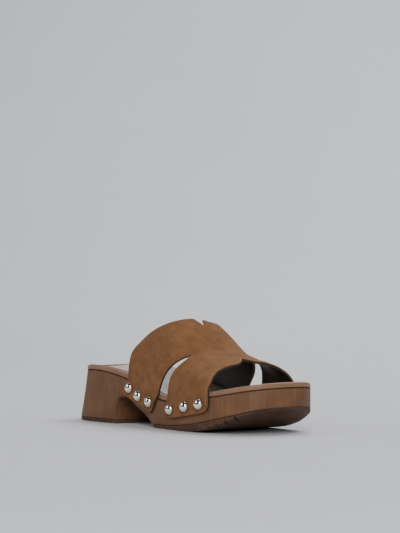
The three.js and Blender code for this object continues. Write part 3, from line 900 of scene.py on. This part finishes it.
def band_shell(name, low, high, draw, soft, materials, folded=False):
    """A closed layer of the band between two distances from its inside, its edges softened."""
    lines = cut_lines(girths)
    points = []
    faces = []
    marks = []
    grids = []
    for start, end in (("rear", "slot_rear"), ("slot_front", "front")):
        first = lines[start] + draw
        last = lines[end] - draw
        between = np.linspace(next_share, 1 - next_share, band_columns - 3)
        shares = np.concatenate([[0, edge_share], between, [1 - edge_share, 1]])
        x = first[:, None] + (last - first)[:, None] * shares[None, :]
        girth = np.repeat(girths[:, None], x.shape[1], 1)
        rim = np.zeros_like(x)
        rim[:, 0] = rim[:, -1] = 1
        rim[0, :] = rim[-1, :] = 1
        grids.append((x, girth, rim))
    closed = ~slot_open(girths)
    middle = (lines["slot_rear"] + lines["slot_front"]) / 2
    inside = (girths > outer_slot_tip + tip_margin) & (girths < inner_slot_tip - tip_margin)
    for (x, _, rim), column in zip(grids, (-1, 0)):
        x[closed, column] = middle[closed]
        rim[inside, column] = 0
    ids = []
    for x, girth, rim in grids:
        off = relief(x, girth, upper_point(x, girth, np.full(x.shape, high))) if folded else 0
        outside = upper_point(x, girth, high - soft * rim + off)
        within = upper_point(x, girth, low + soft * 0.5 * rim)
        block = {}
        for key, layer in (("out", outside), ("in", within)):
            numbers = np.arange(layer.shape[0] * layer.shape[1]).reshape(layer.shape[:2])
            block[key] = numbers + len(points)
            points.extend(layer.reshape(-1, 3))
        ids.append(block)

    def add(face, mark):
        faces.append(face)
        marks.append(mark)

    rows, width = grids[0][0].shape
    for block in ids:
        out, within = block["out"], block["in"]
        for r in range(rows - 1):
            for c in range(width - 1):
                add([out[r, c], out[r, c + 1], out[r + 1, c + 1], out[r + 1, c]], 0)
                add([within[r, c], within[r + 1, c], within[r + 1, c + 1], within[r, c + 1]], 0)
        for c in range(width - 1):
            add([within[0, c], within[0, c + 1], out[0, c + 1], out[0, c]], 1)
            add([within[-1, c + 1], within[-1, c], out[-1, c], out[-1, c + 1]], 1)
    rear, front = ids
    for r in range(rows - 1):
        for block, c, flip in ((rear, 0, True), (front, width - 1, False),
                               (rear, width - 1, False), (front, 0, True)):
            slot_edge = (block is rear and c > 0) or (block is front and c == 0)
            if slot_edge and closed[r] and closed[r + 1]:
                continue
            out, within = block["out"], block["in"]
            face = [within[r, c], within[r + 1, c], out[r + 1, c], out[r, c]]
            add(face[::-1] if flip else face, 1)
    if len(materials) < 2:
        marks = None
    return new_piece(name, points, faces, materials, sharp_angle=50, marks=marks)


suede = mottled_material(
    "suede", (0.135, 0.059, 0.023), (0.245, 0.113, 0.049), (0.85, 1.0),
    cloud=110, grain=1100, share=0.5, bump=0.8, spread=(0.36, 0.64), bump_depth=0.3,
    plain={"Sheen Weight": 0.12, "Sheen Roughness": 0.5, "Sheen Tint": (0.9, 0.6, 0.38, 1),
           "Specular IOR Level": 0.15},
)
cut_edge = mottled_material(
    "cut_edge", (0.03, 0.014, 0.008), (0.07, 0.034, 0.018), (0.75, 0.95),
    cloud=200, grain=2200, share=0.5, bump=0.5,
)
lining_leather = mottled_material(
    "lining_leather", (0.018, 0.013, 0.012), (0.034, 0.025, 0.022), (0.38, 0.55),
    cloud=60, grain=900, share=0.3, bump=0.2, bump_depth=0.08,
)
tan_thread = mottled_material(
    "tan_thread", (0.32, 0.18, 0.09), (0.5, 0.31, 0.17), (0.6, 0.8),
    cloud=300, grain=2500, share=0.5, bump=0.2,
)

suede_band = band_shell(
    "suede_band", lining_wall, full_wall, 0, suede_soft, [suede, cut_edge], folded=True)
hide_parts("upper")
lining = band_shell(
    "lining_band", 0, lining_wall - lining_gap, lining_inset, lining_soft, [lining_leather])

thread_inset = 2.1 * mm
thread_pitch = 2.6 * mm
thread_stitch = (0.8 * mm, 0.3 * mm, 0.26 * mm)
thread_end = 0.93
thread_girths = np.linspace(-thread_end, thread_end, 700)
thread_x = cut_lines(thread_girths)["front"] - thread_inset
thread_wall = np.full(thread_x.shape, full_wall)
thread_seat = upper_point(thread_x, thread_girths, thread_wall)
thread_out = thread_wall + relief(thread_x, thread_girths, thread_seat)
stitch_row("edge_stitches", upper_point(thread_x, thread_girths, thread_out),
           upper_normal(thread_x, thread_girths), thread_pitch, thread_stitch, tan_thread)

# Studs
# Twelve bright nickel dome nails, three through each leg into the sole's side. The leather
# is drawn in round each of them.
stud_radius = 4.45 * mm
stud_height = 3.9 * mm
stud_rim = 0.6 * mm
stud_bevel = 0.3 * mm
stud_sink = 0.15 * mm
dome_height = stud_height + stud_sink
dome_power = 0.95
dome_rings = 19
dome_sides = 48

nickel = mottled_material(
    "nickel", (0.88, 0.86, 0.8), (0.96, 0.94, 0.88), (0.05, 0.11),
    cloud=160, grain=1500, share=0.4, bump=0.03, bump_depth=0.02,
    plain={"Metallic": 1.0},
)

dome = [(0, 0), (stud_radius - stud_bevel, 0), (stud_radius, stud_rim * 0.4)]
for step in range(dome_rings):
    angle = math.radians(90) * step / dome_rings
    dome.append((stud_radius * math.cos(angle) ** dome_power,
                 stud_rim + (dome_height - stud_rim) * math.sin(angle)))
dome.append((0, dome_height))
dome_faces = []
for ring in range(len(dome) - 1):
    for k in range(dome_sides):
        following = (k + 1) % dome_sides
        dome_faces.append([ring * dome_sides + k, ring * dome_sides + following,
                           (ring + 1) * dome_sides + following, (ring + 1) * dome_sides + k])

for name, seat, facing in stud_seats:
    out = Vector(facing)
    place = Vector(seat) - out * stud_sink
    turn = out.to_track_quat("Z", "Y")
    points = []
    for r, z in dome:
        for k in range(dome_sides):
            angle = 2 * math.pi * k / dome_sides
            points.append(place + turn @ Vector((r * math.cos(angle), r * math.sin(angle), z)))
    stud = new_piece(f"stud_head_{name}", points, dome_faces, [nickel])
    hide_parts(f"stud_{name}")
